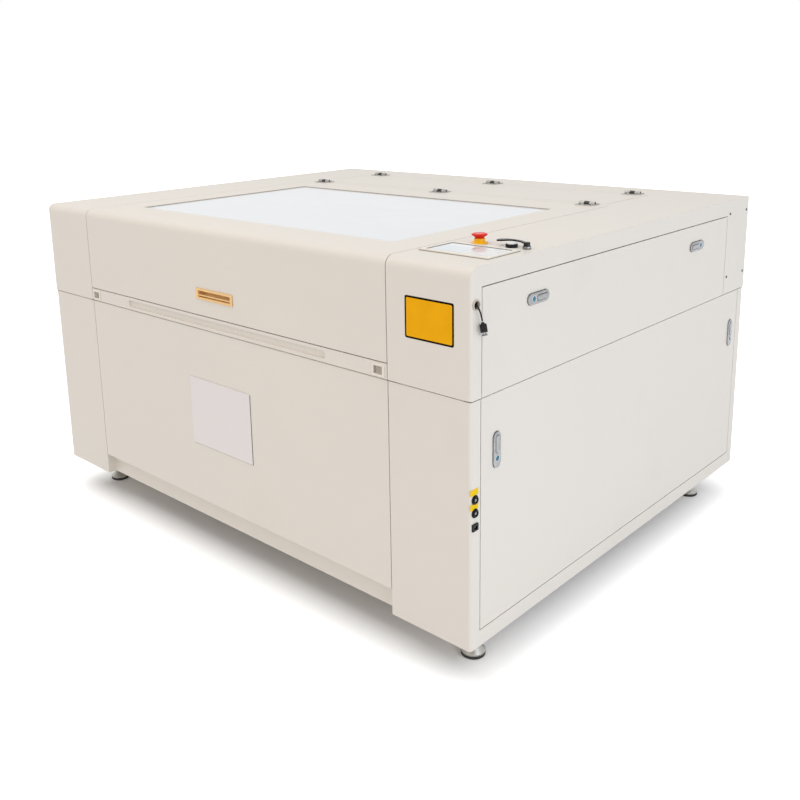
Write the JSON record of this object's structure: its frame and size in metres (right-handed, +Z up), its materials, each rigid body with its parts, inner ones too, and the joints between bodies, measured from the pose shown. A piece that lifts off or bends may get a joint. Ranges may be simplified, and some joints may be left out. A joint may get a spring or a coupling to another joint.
{
  "type": "laser engraver",
  "caption": "Floor-standing laser engraving cabinet with a windowed lift-up lid, pass-through flap, side doors, lift table and a moving gantry.",
  "frame": {"origin": "on the floor, under the middle of the cabinet", "axes": "+X towards the side with the control panel, +Y towards the back, +Z up; the front faces -Y"},
  "size_m": [1.8606, 1.5033, 1.061],
  "materials": {
    "cream_paint": "fine textured powder coat, satin",
    "zinc_steel": "zinc plated, satin",
    "alloy": "anodised, satin",
    "chrome": "polished, slightly worn",
    "brass": "satin",
    "window": "milky acrylic sheet",
    "tube_glass": "clear borosilicate",
    "black_plastic": "moulded, fine grain",
    "grey_plastic": "moulded",
    "white_plastic": "moulded",
    "red_plastic": "moulded",
    "yellow_plastic": "moulded",
    "blue_plastic": "moulded",
    "foot_metal": "zinc plated over a rubber sole"
  },
  "bodies": {
    "cabinet": {"base_cabinet": "cream_paint", "upper_housing": "cream_paint", "foot_front_left": "foot_metal", "foot_front_right": "foot_metal", "foot_rear_left": "foot_metal", "foot_rear_right": "foot_metal", "lid_hinge_left": "zinc_steel", "lid_hinge_centre": "zinc_steel", "lid_hinge_right": "zinc_steel", "cover_hinge_left": "zinc_steel", "cover_hinge_centre": "zinc_steel", "cover_hinge_right": "zinc_steel", "control_panel": "alloy", "estop_collar": "yellow_plastic", "start_ring": "black_plastic", "lead_grommet": "black_plastic", "lead_cord": "black_plastic", "lead_plug": "black_plastic", "service_sockets": "black_plastic", "y_rail_left": "alloy", "y_rail_right": "alloy", "y_motor": "black_plastic", "laser_tube": "tube_glass", "tube_cradle_left": "black_plastic", "tube_cradle_right": "black_plastic", "power_supply": "grey_plastic", "motion_controller": "black_plastic"},
    "lid": {"lid_shell": "cream_paint", "lid_window": "window", "lid_pull": "brass"},
    "left_strut_tube": {"strut_cylinder_left": "black_plastic"},
    "left_strut_rod": {"strut_rod_left": "chrome"},
    "right_strut_tube": {"strut_cylinder_right": "black_plastic"},
    "right_strut_rod": {"strut_rod_right": "chrome"},
    "rear_cover": {"rear_cover": "cream_paint"},
    "front_flap": {"front_flap": "cream_paint"},
    "left_flap_latch": {"flap_latch_left": "grey_plastic"},
    "right_flap_latch": {"flap_latch_right": "grey_plastic"},
    "front_door": {"front_door": "cream_paint"},
    "upper_side_door": {"upper_side_door": "cream_paint"},
    "lower_side_door": {"lower_side_door": "cream_paint"},
    "emergency_stop": {"estop_button": "red_plastic"},
    "start_button": {"start_cap": "white_plastic"},
    "selector": {"selector_lever": "black_plastic"},
    "work_table": {"work_table": "alloy"},
    "gantry": {"gantry_beam": "alloy"},
    "laser_head": {"laser_head": "alloy"},
    "y_drive": {"y_drive_shaft": "zinc_steel"},
    "upper_front_paddle": {"upper_front_latch_paddle": "chrome"},
    "upper_front_button": {"upper_front_latch_button": "blue_plastic"},
    "upper_rear_paddle": {"upper_rear_latch_paddle": "chrome"},
    "upper_rear_button": {"upper_rear_latch_button": "blue_plastic"},
    "lower_front_paddle": {"lower_front_latch_paddle": "chrome"},
    "lower_front_button": {"lower_front_latch_button": "blue_plastic"},
    "lower_rear_paddle": {"lower_rear_latch_paddle": "chrome"},
    "lower_rear_button": {"lower_rear_latch_button": "blue_plastic"},
    "front_left_screw": {"lift_screw_front_left": "zinc_steel"},
    "front_right_screw": {"lift_screw_front_right": "zinc_steel"},
    "rear_left_screw": {"lift_screw_rear_left": "zinc_steel"},
    "rear_right_screw": {"lift_screw_rear_right": "zinc_steel"}
  },
  "joints": [
    {"name": "lid_hinge", "type": "hinge", "parent": "cabinet", "child": "lid", "pos_m": [0, 0.27, 1.042], "axis": [-1, 0, 0], "range_deg": [0, 60]},
    {"name": "cover_hinge", "type": "hinge", "parent": "cabinet", "child": "rear_cover", "pos_m": [0, 0.588, 1.042], "axis": [-1, 0, 0], "range_deg": [0, 90]},
    {"name": "flap_hinge", "type": "hinge", "parent": "cabinet", "child": "front_flap", "pos_m": [0, -0.747, 0.736], "axis": [1, 0, 0], "range_deg": [0, 90]},
    {"name": "left_flap_latch_slide", "type": "slide", "parent": "front_flap", "child": "left_flap_latch", "axis": [1, 0, 0], "range_m": [0, 0.008]},
    {"name": "right_flap_latch_slide", "type": "slide", "parent": "front_flap", "child": "right_flap_latch", "axis": [-1, 0, 0], "range_m": [0, 0.008]},
    {"name": "front_door_hinge", "type": "hinge", "parent": "cabinet", "child": "front_door", "pos_m": [0, -0.742, 0.184], "axis": [1, 0, 0], "range_deg": [0, 90]},
    {"name": "upper_side_door_hinge", "type": "hinge", "parent": "cabinet", "child": "upper_side_door", "pos_m": [0.914, -0.065, 0.739], "axis": [0, 1, 0], "range_deg": [0, 90]},
    {"name": "lower_side_door_hinge", "type": "hinge", "parent": "cabinet", "child": "lower_side_door", "pos_m": [0.912, -0.0035, 0.158], "axis": [0, 1, 0], "range_deg": [0, 90]},
    {"name": "upper_front_paddle_hinge", "type": "hinge", "parent": "upper_side_door", "child": "upper_front_paddle", "pos_m": [0.922, -0.451, 0.925], "axis": [0, 0, 1], "range_deg": [0, 35]},
    {"name": "upper_front_button_slide", "type": "slide", "parent": "upper_front_paddle", "child": "upper_front_button", "axis": [-1, 0, 0], "range_m": [0, 0.003], "stiffness_N_per_m": 300, "springref_m": -0.003},
    {"name": "upper_rear_paddle_hinge", "type": "hinge", "parent": "upper_side_door", "child": "upper_rear_paddle", "pos_m": [0.922, 0.322, 0.925], "axis": [0, 0, -1], "range_deg": [0, 35]},
    {"name": "upper_rear_button_slide", "type": "slide", "parent": "upper_rear_paddle", "child": "upper_rear_button", "axis": [-1, 0, 0], "range_m": [0, 0.003], "stiffness_N_per_m": 300, "springref_m": -0.003},
    {"name": "lower_front_paddle_hinge", "type": "hinge", "parent": "lower_side_door", "child": "lower_front_paddle", "pos_m": [0.92, -0.651, 0.632], "axis": [0, -1, 0], "range_deg": [0, 35]},
    {"name": "lower_front_button_slide", "type": "slide", "parent": "lower_front_paddle", "child": "lower_front_button", "axis": [-1, 0, 0], "range_m": [0, 0.003], "stiffness_N_per_m": 300, "springref_m": -0.003},
    {"name": "lower_rear_paddle_hinge", "type": "hinge", "parent": "lower_side_door", "child": "lower_rear_paddle", "pos_m": [0.92, 0.656, 0.632], "axis": [0, -1, 0], "range_deg": [0, 35]},
    {"name": "lower_rear_button_slide", "type": "slide", "parent": "lower_rear_paddle", "child": "lower_rear_button", "axis": [-1, 0, 0], "range_m": [0, 0.003], "stiffness_N_per_m": 300, "springref_m": -0.003},
    {"name": "left_strut_pivot", "type": "hinge", "parent": "cabinet", "child": "left_strut_tube", "pos_m": [-0.655, 0.236, 0.9], "axis": [-1, 0, 0], "range_deg": [0, 46.2]},
    {"name": "left_strut_slide", "type": "slide", "parent": "left_strut_tube", "child": "left_strut_rod", "axis": [0, -0.9034, 0.4287], "range_m": [0, 0.128]},
    {"name": "right_strut_pivot", "type": "hinge", "parent": "cabinet", "child": "right_strut_tube", "pos_m": [0.655, 0.236, 0.9], "axis": [-1, 0, 0], "range_deg": [0, 46.2]},
    {"name": "right_strut_slide", "type": "slide", "parent": "right_strut_tube", "child": "right_strut_rod", "axis": [0, -0.9034, 0.4287], "range_m": [0, 0.128]},
    {"name": "emergency_stop_push", "type": "slide", "parent": "cabinet", "child": "emergency_stop", "axis": [0, 0, -1], "range_m": [0, 0.004]},
    {"name": "start_button_push", "type": "slide", "parent": "cabinet", "child": "start_button", "axis": [0, 0, -1], "range_m": [0, 0.002], "stiffness_N_per_m": 400, "springref_m": -0.004},
    {"name": "selector_turn", "type": "hinge", "parent": "cabinet", "child": "selector", "pos_m": [0.8845, -0.489, 1.036], "axis": [0, 0, -1], "range_deg": [0, 90]},
    {"name": "table_lift", "type": "slide", "parent": "cabinet", "child": "work_table", "axis": [0, 0, 1], "range_m": [-0.15, 0]},
    {"name": "front_left_screw_turn", "type": "hinge", "parent": "cabinet", "child": "front_left_screw", "pos_m": [-0.668, -0.56, 0.63], "axis": [0, 0, 1], "range_deg": [0, 6755]},
    {"name": "front_right_screw_turn", "type": "hinge", "parent": "cabinet", "child": "front_right_screw", "pos_m": [0.668, -0.56, 0.63], "axis": [0, 0, 1], "range_deg": [0, 6755]},
    {"name": "rear_left_screw_turn", "type": "hinge", "parent": "cabinet", "child": "rear_left_screw", "pos_m": [-0.668, 0.12, 0.63], "axis": [0, 0, 1], "range_deg": [0, 6755]},
    {"name": "rear_right_screw_turn", "type": "hinge", "parent": "cabinet", "child": "rear_right_screw", "pos_m": [0.668, 0.12, 0.63], "axis": [0, 0, 1], "range_deg": [0, 6755]},
    {"name": "gantry_travel", "type": "slide", "parent": "cabinet", "child": "gantry", "axis": [0, 1, 0], "range_m": [-0.85, 0]},
    {"name": "y_drive_turn", "type": "hinge", "parent": "cabinet", "child": "y_drive", "pos_m": [0, 0.262, 0.7928], "axis": [1, 0, 0], "range_deg": [0, 3840]},
    {"name": "head_travel", "type": "slide", "parent": "gantry", "child": "laser_head", "axis": [1, 0, 0], "range_m": [-1.2, 0]}
  ],
  "couplings": [
    {"joint": "left_strut_pivot", "follows": "lid_hinge", "ratio": 0.7678},
    {"joint": "left_strut_slide", "follows": "lid_hinge", "m_per_rad": 0.1216},
    {"joint": "right_strut_pivot", "follows": "lid_hinge", "ratio": 0.7678},
    {"joint": "right_strut_slide", "follows": "lid_hinge", "m_per_rad": 0.1216},
    {"joint": "y_drive_turn", "follows": "gantry_travel", "rad_per_m": -78.74},
    {"joint": "front_left_screw_turn", "follows": "table_lift", "rad_per_m": -785.4},
    {"joint": "front_right_screw_turn", "follows": "table_lift", "rad_per_m": -785.4},
    {"joint": "rear_left_screw_turn", "follows": "table_lift", "rad_per_m": -785.4},
    {"joint": "rear_right_screw_turn", "follows": "table_lift", "rad_per_m": -785.4}
  ]
}
